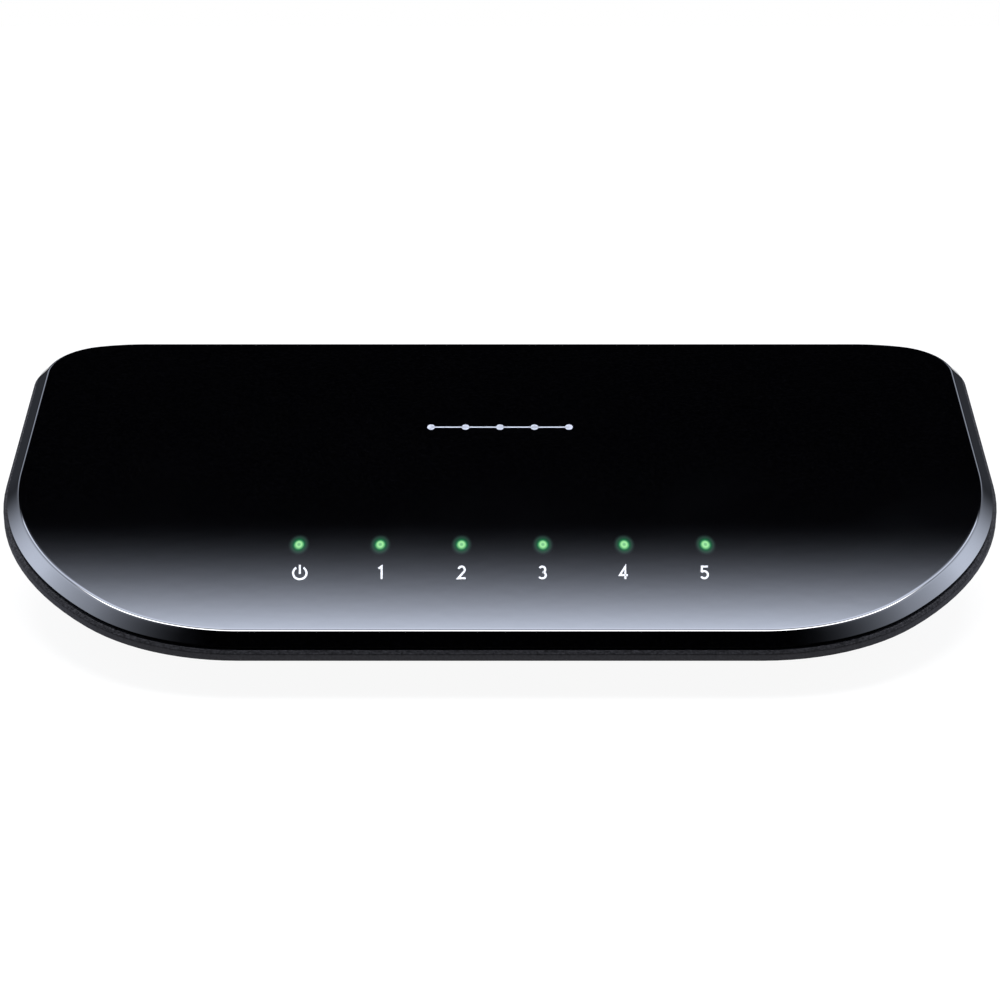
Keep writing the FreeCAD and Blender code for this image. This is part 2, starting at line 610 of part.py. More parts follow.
def board_screw(x, y):
    head = Part.makeCone(2.3, 1.7, 1.3, Vector(x, y, BOARD_TOP))
    shank = rod(1.0, x, y, FOOT_HEIGHT + 1.0, BOARD_TOP + 0.2)
    return joined([head, shank]).cut(cross_recess(x, y, BOARD_TOP + 1.3, -1, 1.2))


def foot(x, y):
    """Stick-on rubber pad with a rounded edge."""
    pad = rod(FOOT_R, x, y, 0, FOOT_HEIGHT + FOOT_RECESS)
    edge = [e for e in pad.Edges if len(e.Vertexes) == 1 and e.BoundBox.ZMax < 1e-6]
    return pad.makeFillet(0.35, edge)


def rating_label():
    half, front, back = LABEL
    z1 = FOOT_HEIGHT + LABEL_RECESS
    plate = box(-half, half, front, back, z1 - LABEL_THICK, z1)
    corners = [e for e in plate.Edges if abs(e.tangentAt(e.FirstParameter).z) > 0.9]
    return plate.makeFillet(1.5, corners)


# ---- write the parts -----------------------------------------------------------------------------
def main():
    os.makedirs("parts", exist_ok=True)
    save("top_cover", top_cover())
    save("bottom_case", bottom_case())
    save("light_pipe", light_pipe())
    save("circuit_board", circuit_board())
    for i in range(PORTS):
        x = port_x(i)
        save(f"jack_housing_{i + 1}", jack_housing(x))
        save(f"jack_carrier_{i + 1}", jack_carrier(x))
        save(f"jack_shield_{i + 1}", jack_shield(x))
        save(f"jack_leads_{i + 1}", *jack_leads(x))
        save(f"jack_contacts_{i + 1}", *jack_contacts(x))
        save(f"magnetics_{i + 1}", magnetics(i))
    save("power_jack_body", power_body())
    save("power_jack_pin", power_pin())
    save("power_jack_terminal", power_terminal())
    save("power_jack_spring", power_spring())
    for name, x in zip(("power", *range(1, PORTS + 1)), LIGHT_XS):
        save(f"led_{name}", status_light(x))
    save("switch_chip", switch_chip())
    save("thermal_pad", thermal_pad())
    save("heat_sink", heat_sink())
    save("surface_leads", *surface_leads())
    save("bulk_capacitors", capacitor(-43.0, 17.0, 3.15, 7.5), capacitor(-38.5, 10.4, 2.5, 5.8))
    save("power_inductor", power_inductor())
    save("regulator_chip", on_board(-38.0, 4.0, 2.5, 2.0, 0.15, 1.5))
    save("input_diode", on_board(-37.5, 21.5, 1.3, 2.2, 0, 2.1))
    save("crystal", crystal())
    save("memory_chip", on_board(24.0, 4.5, 2.5, 2.0, 0.1, 1.5))
    save("small_passives", *small_passives())
    save("case_screws", *(case_screw(x, y) for x, y in CASE_SCREWS))
    save("board_screws", *(board_screw(x, y) for x, y in BOARD_SCREWS))
    save("rubber_feet", *(foot(x, y) for x, y in FEET))
    save("rating_label", rating_label())


main()
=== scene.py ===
"""Desktop network switch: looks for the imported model.

The cover, the light guide and the printed marks are worked out here as surfaces. Everything else is
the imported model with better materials. All lengths are in millimetres until to_world turns them into
metres, apart from the floor and the camera, which are in metres.
"""

import bpy
import bmesh
import math
import numpy as np
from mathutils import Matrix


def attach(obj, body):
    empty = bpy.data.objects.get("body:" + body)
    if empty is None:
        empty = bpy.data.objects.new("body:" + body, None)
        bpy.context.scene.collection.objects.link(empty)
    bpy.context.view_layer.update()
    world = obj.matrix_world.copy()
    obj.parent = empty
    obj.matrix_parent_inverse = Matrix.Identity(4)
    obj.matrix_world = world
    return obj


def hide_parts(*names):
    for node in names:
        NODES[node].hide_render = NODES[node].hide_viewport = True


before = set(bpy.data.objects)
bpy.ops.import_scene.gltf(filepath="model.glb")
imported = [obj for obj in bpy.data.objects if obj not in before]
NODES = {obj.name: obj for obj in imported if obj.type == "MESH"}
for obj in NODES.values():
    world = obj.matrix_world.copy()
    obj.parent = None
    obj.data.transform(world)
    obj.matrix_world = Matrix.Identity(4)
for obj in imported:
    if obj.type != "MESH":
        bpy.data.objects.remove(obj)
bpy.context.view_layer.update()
MM = 0.001

# ---- deck frame: x across, v along the deck towards the sockets, w square to it ------------------
TILT = math.radians(10.0)
DECK_Y, DECK_Z = -0.4576, 15.8590
RIDGE_HALF, RIDGE_END = 67.85, 43.427
SIDE_ARC, FRONT_ARC, SIDE_ARC_RISE = 52.5, 26.5, 44.6
REAR_SIDE_ARC, REAR_ARC, REAR_ARC_DROP = 9.0, 30.0, 9.6
BEVEL_OUT, BEVEL_DROP, SKIRT, RIDGE_ROUND = 1.56, 1.72, 0.25, 0.7
COVER_SKIN = 1.75

LIGHTS, LIGHT_PITCH = 6, 11.05
LIGHT_V = -RIDGE_END + 23.17
OVAL = 2.0
PIPE_HALF, TIP_RISE, LIGHT_OFFSET = 0.62, 0.05, 0.3
LIGHT_XS = [LIGHT_OFFSET + LIGHT_PITCH * (i - (LIGHTS - 1) / 2) for i in range(LIGHTS)]
LEGEND_V = -RIDGE_END + 15.4
LEGEND_SQUEEZE = 0.981  # the signs stand slightly closer together than the lights
LEGEND_FAN = 0.0018  # each sign leans outwards by this much a millimetre of its distance from the middle
MARK_V = -RIDGE_END + 58.6
INK_THICK = 0.03


def to_world(points):
    """Deck-frame points, turned by the deck's fall about X and moved to its place, in metres."""
    x, v, w = points[:, 0], points[:, 1], points[:, 2]
    y = DECK_Y + v * math.cos(TILT) - w * math.sin(TILT)
    z = DECK_Z + v * math.sin(TILT) + w * math.cos(TILT)
    return np.stack([x, y, z], 1) * MM


def make_piece(name, verts, faces, material, smooth=None):
    """A mesh piece in metres that rides on the case. Edges under smooth, in degrees, are smooth."""
    mesh = bpy.data.meshes.new(name)
    mesh.from_pydata(verts, [], faces)
    mesh.validate()
    mesh.materials.append(material)
    if smooth is not None:
        mesh.polygons.foreach_set("use_smooth", np.ones(len(mesh.polygons), bool))
        mesh.set_sharp_from_angle(angle=math.radians(smooth))
    mesh.update()
    piece = bpy.data.objects.new(name, mesh)
    bpy.context.scene.collection.objects.link(piece)
    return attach(piece, "case")


def grid_faces(rows, columns):
    """Quads of a grid that closes on itself along each row: vertex (r, c) has the number r * columns + c."""
    r, c = (a.ravel() for a in np.meshgrid(np.arange(rows - 1), np.arange(columns), indexing="ij"))
    r2, c2 = r + 1, (c + 1) % columns
    return np.stack([r * columns + c, r * columns + c2, r2 * columns + c2, r2 * columns + c], 1)


# ---- shader helpers ------------------------------------------------------------------------------
class Value:
    """Wraps a node's output socket, so that Python arithmetic on it adds Math nodes."""

    def __init__(self, tree, socket):
        self.tree, self.socket = tree, socket

    def math(self, operation, *others, clamp=False):
        node = self.tree.nodes.new("ShaderNodeMath")
        node.operation, node.use_clamp = operation, clamp
        for slot_in, item in zip(node.inputs, (self, *others)):
            if isinstance(item, Value):
                self.tree.links.new(item.socket, slot_in)
            else:
                slot_in.default_value = item
        return Value(self.tree, node.outputs[0])

    def reflected(self, operation, first):
        node = self.tree.nodes.new("ShaderNodeMath")
        node.operation = operation
        node.inputs[0].default_value = first
        self.tree.links.new(self.socket, node.inputs[1])
        return Value(self.tree, node.outputs[0])

    def __add__(self, other):
        return self.math("ADD", other)

    def __sub__(self, other):
        return self.math("SUBTRACT", other)

    def __mul__(self, other):
        return self.math("MULTIPLY", other)

    def __truediv__(self, other):
        return self.math("DIVIDE", other)

    def __pow__(self, other):
        return self.math("POWER", other)

    def __radd__(self, other):
        return self.reflected("ADD", other)

    def __rsub__(self, other):
        return self.reflected("SUBTRACT", other)

    def __rmul__(self, other):
        return self.reflected("MULTIPLY", other)

    def __rtruediv__(self, other):
        return self.reflected("DIVIDE", other)

    def __neg__(self):
        return self.math("MULTIPLY", -1.0)

    def __abs__(self):
        return self.math("ABSOLUTE")

    def least(self, other):
        return self.math("MINIMUM", other)

    def most(self, other):
        return self.math("MAXIMUM", other)

    def over(self, other):
        return self.math("GREATER_THAN", other)

    def step(self, low, high):
        """Smooth step: 0 at low and below, 1 at high and above."""
        t = ((self - low) / (high - low)).math("ADD", 0.0, clamp=True)
        return t * t * (3.0 - 2.0 * t)


class Finish:
    """A material, or the world, built one node at a time."""

    def __init__(self, name, world=False):
        self.data = bpy.data.worlds.new(name) if world else bpy.data.materials.new(name)
        self.data.use_nodes = True
        self.tree = self.data.node_tree
        self.tree.nodes.clear()
        self.out = self.tree.nodes.new("ShaderNodeOutputWorld" if world else "ShaderNodeOutputMaterial")

    def add(self, kind, output=0, settings=None, **sockets):
        """A node of that kind: settings first, then sockets by name, with _ for a space, or iN for number N.

        Gives the wanted output.
        """
        node = self.tree.nodes.new("ShaderNode" + kind)
        for key, value in (settings or {}).items():
            if key == "stops":
                ramp = node.color_ramp.elements
                while len(ramp) < len(value):
                    ramp.new(0.5)
                for element, (place, colour) in zip(ramp, value):
                    element.position, element.color = place, (*colour, 1.0)
            else:
                setattr(node, key, value)
        for key, value in sockets.items():
            numbered = key[0] == "i" and key[1:].isdigit()
            slot_in = node.inputs[int(key[1:]) if numbered else key.replace("_", " ")]
            if isinstance(value, Value):
                self.tree.links.new(value.socket, slot_in)
            else:
                slot_in.default_value = value
        return Value(self.tree, node.outputs[output])

    def place(self, move=(0.0, 0.0, 0.0)):
        """Object coordinates in millimetres, moved to suit a pattern."""
        where = self.add("TexCoord", "Object")
        return self.add("Mapping", Vector=where, Scale=(1 / MM,) * 3, Location=move)

    def axes(self, where):
        node = self.tree.nodes.new("ShaderNodeSeparateXYZ")
        self.tree.links.new(where.socket, node.inputs[0])
        return [Value(self.tree, out) for out in node.outputs]

    def noise(self, where, scale, detail=2.0, rough=0.5, stretch=None):
        if stretch:
            where = self.add("Mapping", Vector=where, Scale=stretch)
        return self.add("TexNoise", "Fac", Vector=where, Scale=scale, Detail=detail, Roughness=rough)

    def mix(self, factor, low, high):
        """Colour low where the factor is 0, high where it is 1."""
        node = self.tree.nodes.new("ShaderNodeMix")
        node.data_type = "RGBA"
        for slot_in, item in zip((node.inputs[0], node.inputs[6], node.inputs[7]), (factor, low, high)):
            if isinstance(item, Value):
                self.tree.links.new(item.socket, slot_in)
            else:
                slot_in.default_value = item if isinstance(item, float) else (*item, 1.0)
        return Value(self.tree, node.outputs[2])

    def bump(self, height, strength, distance_mm):
        return self.add("Bump", Height=height, Strength=strength, Distance=distance_mm * MM)

    def surface(self, **sockets):
        """Principled surface, wired to the output."""
        for key in ("Base_Color", "Emission_Color"):
            if key in sockets and not isinstance(sockets[key], Value):
                sockets[key] = (*sockets[key], 1.0)
        made = self.add("BsdfPrincipled", **sockets)
        self.tree.links.new(made.socket, self.out.inputs["Surface"])
        return self.data


# ---- finishes ------------------------------------------------------------------------------------
def deck_axes(finish):
    """x, v and w of the deck frame in millimetres, from Object coordinates."""
    moved = finish.place((0.0, -DECK_Y, -DECK_Z))
    x, y, z = finish.axes(moved)
    v = y * math.cos(TILT) + z * math.sin(TILT)
    w = z * math.cos(TILT) - y * math.sin(TILT)
    return moved, x, v, w


def light_distance(x, v):
    """Millimetres from the nearest status light's centre, measured so that its oval is a circle."""
    x = x - LIGHT_OFFSET
    row = x / LIGHT_PITCH
    along = (row - row.math("FLOOR") - 0.5) * LIGHT_PITCH
    deep = (v - LIGHT_V) / OVAL
    in_row = abs(x).step(LIGHT_PITCH * 3.05, LIGHT_PITCH * 3.0)
    return (along * along + deep * deep) ** 0.5 + (1.0 - in_row) * 9.0


def piano_black():
    """High-gloss black with a very slight orange peel and faint wiping marks, and a painted green glow round
    each light.
    """
    f = Finish("piano_black")
    where, x, v, w = deck_axes(f)
    # Painted glow: green emission painted on the cover round each light, brightest next to the light and
    # fading out across the deck.
    painted_glow = f.add("ValToRGB", "Color", {"stops": [
        (0.0, (0.020, 0.190, 0.075)), (0.44, (0.024, 0.200, 0.078)), (0.53, (0.006, 0.088, 0.032)),
        (0.60, (0.010, 0.066, 0.033)), (0.70, (0.019, 0.052, 0.036)), (0.78, (0.012, 0.030, 0.024)),
        (0.86, (0.006, 0.012, 0.011)), (1.0, (0.0, 0.0, 0.0)),
    ]}, Fac=light_distance(x, v) / 1.5)
    haze = f.noise(where, 0.05, 3.0)
    wiped = f.noise(where, 0.9, 6.0, 0.62, (0.25, 5.0, 1.0))
    fleck = f.noise(where, 2.2, 2.0)
    tone = f.mix(fleck.step(0.4, 0.7), (0.0001, 0.0001, 0.00015), (0.0003, 0.0003, 0.0004))
    rough = 0.022 + haze.step(0.45, 0.8) * 0.012 + wiped.step(0.64, 0.85) * 0.02
    peel = f.noise(where, 0.35, 1.0)
    return f.surface(
        Base_Color=tone, Roughness=rough, IOR=1.5, Specular_IOR_Level=0.5,
        Normal=f.bump(peel, 0.02, 0.02), Emission_Color=painted_glow, Emission_Strength=1.0,
    )


def textured_black():
    """Matte moulded case: spark-eroded grain, and painted light: paler on the lip below the joint, most at
    the front, less on the hull under it.
    """
    f = Finish("textured_black")
    where, x, v, w = deck_axes(f)
    grain = f.noise(where, 3.2, 4.0, 0.6)
    cells = f.add("TexVoronoi", "Distance", Vector=where, Scale=3.8)
    patch = f.noise(where, 0.05, 3.0)
    # Painted light: the lip band is painted paler, strongest towards the front, and the hull below it gets
    # only part of that.
    painted_lit_lip = w.step(-2.2, -2.6) * (1.0 - w.step(-3.1, -3.5) * 0.6) * (v.step(5.0, -25.0) * 0.75 + 0.25)
    grain_and_painted_light = grain.step(0.3, 0.75) * 0.35 + painted_lit_lip * 0.65
    colour = f.mix(grain_and_painted_light, (0.003, 0.003, 0.0034), (0.050, 0.050, 0.056))
    rough = 0.5 + grain * 0.12 - patch.step(0.5, 0.75) * 0.06
    return f.surface(
        Base_Color=colour, Roughness=rough + 0.1, IOR=1.06, Specular_IOR_Level=0.5,
        Normal=f.bump(grain * 0.7 + cells * 0.3, 0.5, 0.06),
    )


def lit_guide():
    """Clear moulding that carries the green light: a bright ring with a slightly dimmer middle."""
    f = Finish("lit_guide")
    where, x, v, w = deck_axes(f)
    lit = f.add("ValToRGB", "Color", {"stops": [
        (0.0, (0.17, 0.46, 0.215)), (0.2, (0.19, 0.49, 0.225)), (0.42, (0.32, 0.74, 0.32)),
        (0.55, (0.34, 0.77, 0.32)), (0.72, (0.20, 0.54, 0.21)), (0.86, (0.08, 0.31, 0.12)),
        (1.0, (0.02, 0.17, 0.07)),
    ]}, Fac=light_distance(x, v) / 0.68)
    top = w.step(-0.5, -0.1)
    cloud = f.noise(where, 2.5, 2.0)
    return f.surface(
        Base_Color=f.mix(cloud, (0.002, 0.010, 0.004), (0.004, 0.018, 0.007)),
        Roughness=0.6 + cloud * 0.1, IOR=1.49, Specular_IOR_Level=0.02,
        Emission_Color=f.mix(top, (0.01, 0.07, 0.025), lit), Emission_Strength=1.0,
        Normal=f.bump(cloud, 0.05, 0.05),
    )


def printed_ink(name, tint):
    """Pad-printed ink: slightly uneven cover and a dull sheen."""
    f = Finish(name)
    where = f.place()
    speck = f.noise(where, 6.0, 3.0)
    cover = speck.step(0.2, 0.6)
    low = tuple(c * 0.8 for c in tint)
    return f.surface(
        Base_Color=f.mix(cover, low, tint), Roughness=0.5 + speck * 0.15, Specular_IOR_Level=0.2,
        Normal=f.bump(speck, 0.2, 0.02),
    )


def moulded_plastic(name, low, high, rough, grain_size=4.0, relief=0.03):
    """Plain moulded plastic with flow marks and a fine grain."""
    f = Finish(name)
    where = f.place()
    grain = f.noise(where, grain_size, 3.0)
    flow = f.noise(where, 0.25, 4.0, 0.6, (1.0, 1.0, 3.0))
    return f.surface(
        Base_Color=f.mix(flow.step(0.3, 0.7), low, high), Roughness=rough + (grain - 0.5) * 0.2,
        Normal=f.bump(grain, 0.3, relief),
    )


def brushed_metal(name, low, high, rough, stretch, bend=0.02):
    """Rolled or plated sheet: fine drawn lines, soft stains and small roughness changes."""
    f = Finish(name)
    where = f.place()
    lines = f.noise(where, 5.0, 4.0, 0.6, stretch)
    stain = f.noise(where, 0.35, 4.0)
    return f.surface(
        Base_Color=f.mix(stain.step(0.3, 0.7), low, high), Metallic=1.0,
        Roughness=rough + lines * 0.16 + stain * 0.06, Normal=f.bump(lines, 0.25, bend),
    )


def circuit_green():
    """Solder resist over copper: straight tracks show as slightly lighter lines with a small relief."""
    f = Finish("circuit_green")
    where = f.place()
    x, y, z = f.axes(where)
    bend = f.add("TexVoronoi", "Color", Vector=where, Scale=0.09, Randomness=0.8)
    bx, by, _ = f.axes(bend)
    turned = bx.over(0.5)
    across = x * (1.0 - turned) + y * turned
    wave = (across / 0.9) - (across / 0.9).math("FLOOR")
    track = abs(wave - 0.5).step(0.26, 0.2) * by.over(0.35)
    weave = f.noise(where, 1.6, 2.0)
    side = z.step(4.05, 4.1) * z.step(5.55, 5.5)
    ground = f.mix(weave, (0.004, 0.058, 0.022), (0.008, 0.085, 0.034))
    face = f.mix(track, ground, (0.018, 0.165, 0.062))
    return f.surface(
        Base_Color=f.mix(side, face, (0.16, 0.17, 0.07)), Roughness=0.24 + weave * 0.14,
        Normal=f.bump(track, 0.35, 0.04), Coat_Weight=0.25,
    )


def marked_epoxy():
    """Moulded epoxy chip body with a fine sparkle."""
    return moulded_plastic("moulded_epoxy", (0.012, 0.012, 0.013), (0.024, 0.024, 0.026), 0.5, 9.0, 0.015)


def fired_ceramic():
    """Small passives: tan or black bodies, told apart by where they stand."""
    f = Finish("fired_ceramic")
    where = f.place()
    speck = f.noise(where, 8.0, 2.0)
    zone = f.add("TexVoronoi", "Color", Vector=where, Scale=0.45)
    pick, _, _ = f.axes(zone)
    body = f.mix(pick.over(0.5), (0.25, 0.16, 0.08), (0.02, 0.02, 0.024))
    return f.surface(
        Base_Color=f.mix(speck * 0.3, body, (0.4, 0.3, 0.2)), Roughness=0.4 + speck * 0.2,
        Normal=f.bump(speck, 0.2, 0.02),
    )


def soft_rubber():
    """Matte rubber with a fine grain and a little dust."""
    f = Finish("soft_rubber")
    where = f.place()
    grain = f.noise(where, 5.0, 4.0)
    dust = f.noise(where, 0.5, 5.0, 0.7)
    return f.surface(
        Base_Color=f.mix(dust.step(0.5, 0.8), (0.014, 0.014, 0.014), (0.05, 0.048, 0.045)),
        Roughness=0.72 + grain * 0.15, Normal=f.bump(grain, 0.4, 0.05),
    )


def label_film():
    """Blank satin label film with a faint border line."""
    f = Finish("label_film")
    where = f.place()
    x, y, z = f.axes(where)
    edge = abs(x).most(abs(y - 25.5) + 17.0)
    border = edge.step(24.55, 24.65) * edge.step(24.95, 24.85)
    grain = f.noise(where, 4.0, 3.0)
    face = f.mix(grain * 0.4, (0.42, 0.43, 0.45), (0.5, 0.51, 0.53))
    return f.surface(
        Base_Color=f.mix(border, face, (0.1, 0.1, 0.11)), Roughness=0.38 + grain * 0.12,
        Normal=f.bump(grain, 0.1, 0.02),
    )


def finish_cad_nodes():
    """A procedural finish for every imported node: the one whose name starts it, or else chip epoxy."""
    socket_black = moulded_plastic("socket_black", (0.010, 0.010, 0.011), (0.020, 0.020, 0.022), 0.42)
    plated = brushed_metal("tin_plate", (0.42, 0.41, 0.39), (0.55, 0.54, 0.51), 0.24, (1.0, 1.0, 6.0))
    epoxy = marked_epoxy()
    aluminium = brushed_metal("satin_aluminium", (0.6, 0.61, 0.62), (0.72, 0.73, 0.74), 0.28, (1.0, 7.0, 1.0))
    shield = brushed_metal("nickel_shield", (0.36, 0.355, 0.34), (0.50, 0.49, 0.47), 0.24, (7.0, 1.0, 1.0))
    gold = brushed_metal("gold_flash", (0.78, 0.5, 0.14), (0.92, 0.64, 0.24), 0.14, (6.0, 1.0, 1.0))
    screw = brushed_metal("dark_zinc", (0.16, 0.16, 0.17), (0.27, 0.27, 0.28), 0.28, (4.0, 4.0, 1.0))
    pad = moulded_plastic("thermal_pad_grey", (0.3, 0.33, 0.36), (0.38, 0.41, 0.44), 0.7)
    lens = moulded_plastic("light_window", (0.3, 0.62, 0.38), (0.42, 0.78, 0.5), 0.2)
    finishes = {
        "bottom_case": textured_black(), "circuit_board": circuit_green(), "rating_label": label_film(),
        "rubber_feet": soft_rubber(), "case_screws": screw, "board_screws": screw,
        "power_jack_body": socket_black, "jack_housing": socket_black, "jack_carrier": socket_black,
        "power_jack_pin": plated, "power_jack_terminal": plated, "power_jack_spring": plated,
        "surface_leads": plated, "jack_shield": shield, "jack_contacts": gold, "jack_leads": gold,
        "heat_sink": aluminium, "bulk_capacitors": aluminium, "crystal": aluminium,
        "thermal_pad": pad, "small_passives": fired_ceramic(), "led": lens,
    }
    for name, node in NODES.items():
        keys = [k for k in finishes if name == k or name.startswith(k + "_")]
        material = finishes[max(keys, key=len)] if keys else epoxy
        for slot_at in node.material_slots:
            slot_at.material = material


# ---- cover ---------------------------------------------------------------------------------------
def deck_outline(fine=40):
    """The ridge's outline, anticlockwise from the front, and its outward normals.

    Each corner is two tangent arcs: a point is the arc's centre plus its radius times the direction
    (cos a, sin a), and that direction is also the normal. The left half is the right half mirrored.
    """
    front_y = -RIDGE_END
    side = np.array([RIDGE_HALF - SIDE_ARC, front_y + SIDE_ARC_RISE])
    rise = side[1] - (front_y + FRONT_ARC)
    front = np.array([side[0] + math.sqrt((SIDE_ARC - FRONT_ARC) ** 2 - rise**2), front_y + FRONT_ARC])
    corner = np.array([RIDGE_HALF - REAR_SIDE_ARC, RIDGE_END - REAR_ARC_DROP])
    rise = corner[1] - (RIDGE_END - REAR_ARC)
    rear = np.array([corner[0] - math.sqrt((REAR_ARC - REAR_SIDE_ARC) ** 2 - rise**2), RIDGE_END - REAR_ARC])
    front_turn = math.atan2(*(front - side)[::-1])
    rear_turn = math.atan2(*(corner - rear)[::-1])
    arcs = [
        (front, FRONT_ARC, -math.pi / 2, front_turn), (side, SIDE_ARC, front_turn, 0.0),
        (corner, REAR_SIDE_ARC, 0.0, rear_turn), (rear, REAR_ARC, rear_turn, math.pi / 2),
    ]
    points, normals = [], []
    for centre, radius, a0, a1 in arcs:
        a = np.linspace(a0, a1, fine)
        way = np.stack([np.cos(a), np.sin(a)], 1)
        keep = slice(0, None) if not points or a0 == 0.0 else slice(1, None)
        points.append((centre + radius * way)[keep])
        normals.append(way[keep])
    points, normals = np.concatenate(points), np.concatenate(normals)
    flip = np.array([-1.0, 1.0])
    return np.concatenate([points, points[::-1] * flip]), np.concatenate([normals, normals[::-1] * flip])


def sweep_outline(profile, outline):
    """Carries a profile of (out, w) pairs round: outline point plus out times its normal, at height w."""
    points, normals = outline
    out, w = profile[:, 0, None, None], profile[:, 1, None]
    xy = points[None] + out * normals[None]
    high = np.broadcast_to(w, (len(profile), len(points)))
    return np.concatenate([xy, high[..., None]], 2).reshape(-1, 3)


def fill_between(rings, w, up, first):
    """Faces that fill a flat region at height w, bounded by the first ring with the others as its holes."""
    made = bmesh.new()
    loops = []
    for ring in rings:
        verts = [made.verts.new((x, v, w)) for x, v in ring]
        loops += [made.edges.new((a, b)) for a, b in zip(verts, verts[1:] + verts[:1])]
    made.verts.index_update()
    bmesh.ops.triangle_fill(made, use_beauty=True, use_dissolve=False, edges=loops)
    faces = [[v.index for v in face.verts] for face in made.faces]
    flipped = [face.normal.z * (1 if up else -1) < 0 for face in made.faces]
    made.free()
    return [[first[i] for i in (reversed(face) if flip else face)] for face, flip in zip(faces, flipped)]


def oval_ring(x, half, count=48):
    """Oval about a status light: half times cos a across, and OVAL times that along the deck."""
    a = np.arange(count) * (2 * math.pi / count)
    return np.stack([x + half * np.cos(a), LIGHT_V + half * OVAL * np.sin(a)], 1)


def cover():
    """Closed glossy cover: deck with six oval holes, rounded ridge, bevel, skirt and flat underside.

    The ridge is an arc of RIDGE_ROUND from level to the bevel's slope, carried round the outline with
    the rest of the profile. Each hole is a stack of ovals.
    """
    outline = deck_outline()
    columns = len(outline[0])
    slope = math.atan2(BEVEL_DROP - SKIRT, BEVEL_OUT)
    inset = RIDGE_ROUND * math.tan(slope / 2)
    turn = np.linspace(0.0, slope, 13)
    ridge = np.stack([-inset + RIDGE_ROUND * np.sin(turn), RIDGE_ROUND * (np.cos(turn) - 1.0)], 1)
    low = np.array([
        [BEVEL_OUT, -BEVEL_DROP + SKIRT], [BEVEL_OUT - 0.03, -BEVEL_DROP + SKIRT - 0.06],
        [BEVEL_OUT - 0.3, -BEVEL_DROP], [BEVEL_OUT - 1.2, -BEVEL_DROP], [BEVEL_OUT - 2.5, -COVER_SKIN],
    ])
    hold = np.array([[-inset - 0.3, 0.0]])
    settle = np.array([[BEVEL_OUT * 0.45, 0.0]])
    settle[0, 1] = ridge[-1, 1] - (settle[0, 0] - ridge[-1, 0]) * math.tan(slope)
    profile = np.concatenate([hold, ridge, settle, low])
    verts = [sweep_outline(profile, outline)]
    faces = [list(q) for q in grid_faces(len(profile), columns)[:, ::-1]]
    total = len(verts[0])
    top_loops, top_ids = [verts[0][:columns, :2]], list(range(columns))
    under_loops, under_ids = [verts[0][-columns:, :2]], list(range(total - columns, total))
    for x in LIGHT_XS:
        halves = PIPE_HALF + np.array([0.16, 0.09, 0.045, 0.03, 0.03])
        highs = [0.0, 0.0, 0.0, -0.3, -COVER_SKIN]
        rings = [np.column_stack([oval_ring(x, h), np.full(48, w)]) for h, w in zip(halves, highs)]
        verts.append(np.concatenate(rings))
        faces += [[int(i) + total for i in q] for q in grid_faces(len(rings), 48)]
        top_loops.append(rings[0][:, :2])
        top_ids += list(range(total, total + 48))
        under_loops.append(rings[-1][:, :2])
        under_ids += list(range(total + (len(rings) - 1) * 48, total + len(rings) * 48))
        total += len(rings) * 48
    faces += fill_between(top_loops, 0.0, True, top_ids)
    faces += fill_between(under_loops, -COVER_SKIN, False, under_ids)
    piece = make_piece("deck_cover", to_world(np.concatenate(verts)), faces, piano_black(), 30)
    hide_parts("top_cover")
    return piece


def light_guide():
    """Clear guide: six closed oval columns through the deck, with domed tips and wider feet.

    A dome's height falls as the square root of 1 minus the squared distance from its middle, over a low rise.
    """
    material = lit_guide()
    verts, faces, total, count = [], [], 0, 48
    for x in LIGHT_XS:
        t = np.linspace(0.0, math.pi / 2, 9)[1:]
        rings = [(PIPE_HALF * s, (c - 1.0) * 0.07 + TIP_RISE) for s, c in zip(np.sin(t), np.cos(t))]
        rings += [(PIPE_HALF, -COVER_SKIN - 0.01), (PIPE_HALF * 1.35, -COVER_SKIN - 0.01 - 2.9)]
        grid = np.concatenate([np.column_stack([oval_ring(x, h), np.full(count, w)]) for h, w in rings])
        tip = np.array([[x, LIGHT_V, TIP_RISE], [x, LIGHT_V, rings[-1][1]]])
        verts.append(np.concatenate([grid, tip]))
        faces += [[int(i) + total for i in q[::-1]] for q in grid_faces(len(rings), count)]
        top, low, last = total + len(grid), total + len(grid) + 1, total + (len(rings) - 1) * count
        faces += [[top, total + i, total + (i + 1) % count] for i in range(count)]
        faces += [[low, last + (i + 1) % count, last + i] for i in range(count)]
        total += len(grid) + 2
    piece = make_piece("light_guide", to_world(np.concatenate(verts)), faces, material, 40)
    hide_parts("light_pipe")
    return piece


